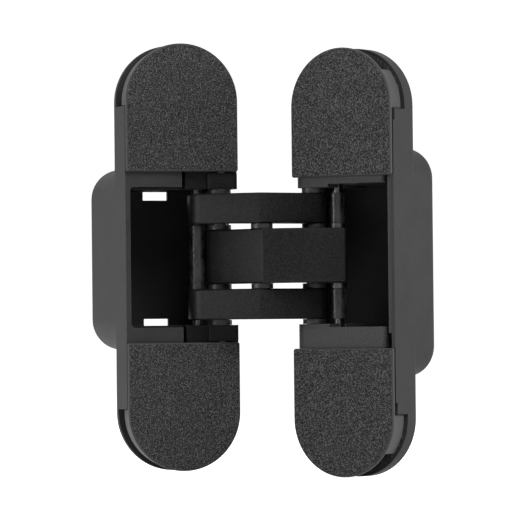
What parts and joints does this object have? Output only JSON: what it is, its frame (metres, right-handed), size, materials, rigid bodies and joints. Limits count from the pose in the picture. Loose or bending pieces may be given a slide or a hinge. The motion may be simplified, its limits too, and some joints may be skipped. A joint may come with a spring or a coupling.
{
  "type": "concealed door hinge",
  "caption": "Two mortised leaves with round ends, joined by three crossing arms that hide inside the leaves when the door is shut.",
  "frame": {"origin": "centre of the frame leaf plate's rear face, midway between its two fixing holes", "axes": "Z along the pivot pins and the leaves' length, +Y from the plate's face into the jamb behind it, X across the frame leaf; the door leaf is turned 51 degrees from the straight open position"},
  "size_m": [0.0882, 0.0516, 0.1118],
  "materials": {
    "housing": "satin black paint on a zinc casting",
    "cap": "fine pebble texture, matte",
    "carrier": "satin black paint",
    "arm": "satin black paint",
    "washer": "smooth",
    "pin_steel": "blackened, bright turned surface",
    "zinc_steel": "zinc plated"
  },
  "bodies": {
    "frame_leaf": {"frame_housing": "housing", "frame_cap_upper": "cap", "frame_cap_lower": "cap", "frame_toothed_plate_upper": "zinc_steel", "frame_toothed_plate_lower": "zinc_steel"},
    "height_screw": {"height_screw": "zinc_steel"},
    "frame_carrier": {"frame_carrier": "carrier", "frame_pivot_pin": "pin_steel", "frame_lug_washer_upper": "washer", "frame_lug_washer_lower": "washer"},
    "outer_arms": {"outer_arm_upper": "arm", "outer_arm_lower": "arm", "door_tail_pin": "pin_steel", "door_tail_sleeve": "pin_steel", "cross_pin": "pin_steel", "cross_washer_upper": "washer", "cross_washer_lower": "washer", "frame_inner_washer_upper": "washer", "frame_inner_washer_lower": "washer"},
    "central_arm": {"central_arm": "arm", "frame_tail_pin": "pin_steel", "frame_tail_sleeve_upper": "pin_steel", "frame_tail_sleeve_lower": "pin_steel", "frame_tail_collar_upper": "pin_steel", "frame_tail_collar_lower": "pin_steel", "door_inner_washer_upper": "washer", "door_inner_washer_lower": "washer"},
    "door_carrier": {"door_carrier": "carrier", "door_pivot_pin": "pin_steel", "door_lug_washer_upper": "washer", "door_lug_washer_lower": "washer"},
    "door_leaf": {"door_housing": "housing", "door_cap_upper": "cap", "door_cap_lower": "cap"},
    "side_screw_upper": {"side_screw_upper": "zinc_steel"},
    "side_screw_lower": {"side_screw_lower": "zinc_steel"}
  },
  "joints": [
    {"name": "height_slide", "type": "slide", "parent": "frame_leaf", "child": "frame_carrier", "axis": [0, 0, 1], "range_m": [-0.00485, 0.00115]},
    {"name": "height_screw_turn", "type": "hinge", "parent": "frame_leaf", "child": "height_screw", "pos_m": [0, -0.0065, 0.03], "axis": [0, 0, -1], "range_deg": [-2500, 600]},
    {"name": "frame_pivot", "type": "hinge", "parent": "frame_carrier", "child": "outer_arms", "pos_m": [-0.0112, -0.0066, 0], "axis": [0, 0, -1], "range_deg": [-89.58, 35.41]},
    {"name": "cross_pivot", "type": "hinge", "parent": "outer_arms", "child": "central_arm", "pos_m": [-0.0182, -0.0204, 0], "axis": [0, 0, -1], "range_deg": [-20, 50.3]},
    {"name": "door_pivot", "type": "hinge", "parent": "central_arm", "child": "door_carrier", "pos_m": [-0.03332, -0.01715, 0], "axis": [0, 0, -1], "range_deg": [-89.7, 35.5]},
    {"name": "side_slide", "type": "slide", "parent": "door_carrier", "child": "door_leaf", "axis": [-0.7771, 0.6293, 0], "range_m": [-0.001, 0.001]},
    {"name": "side_screw_upper_turn", "type": "hinge", "parent": "door_leaf", "child": "side_screw_upper", "pos_m": [-0.04146, -0.02498, 0.03035], "axis": [-0.7771, 0.6293, 0], "range_deg": [-460, 460]},
    {"name": "side_screw_lower_turn", "type": "hinge", "parent": "door_leaf", "child": "side_screw_lower", "pos_m": [-0.04146, -0.02498, -0.02665], "axis": [-0.7771, 0.6293, 0], "range_deg": [-460, 460]}
  ],
  "couplings": [
    {"joint": "height_screw_turn", "follows": "height_slide", "rad_per_m": 8976},
    {"joint": "cross_pivot", "follows": "frame_pivot", "ratio": -0.55991},
    {"joint": "door_pivot", "follows": "frame_pivot", "ratio": 1},
    {"joint": "side_screw_upper_turn", "follows": "side_slide", "rad_per_m": 7854},
    {"joint": "side_screw_lower_turn", "follows": "side_slide", "rad_per_m": 7854}
  ]
}
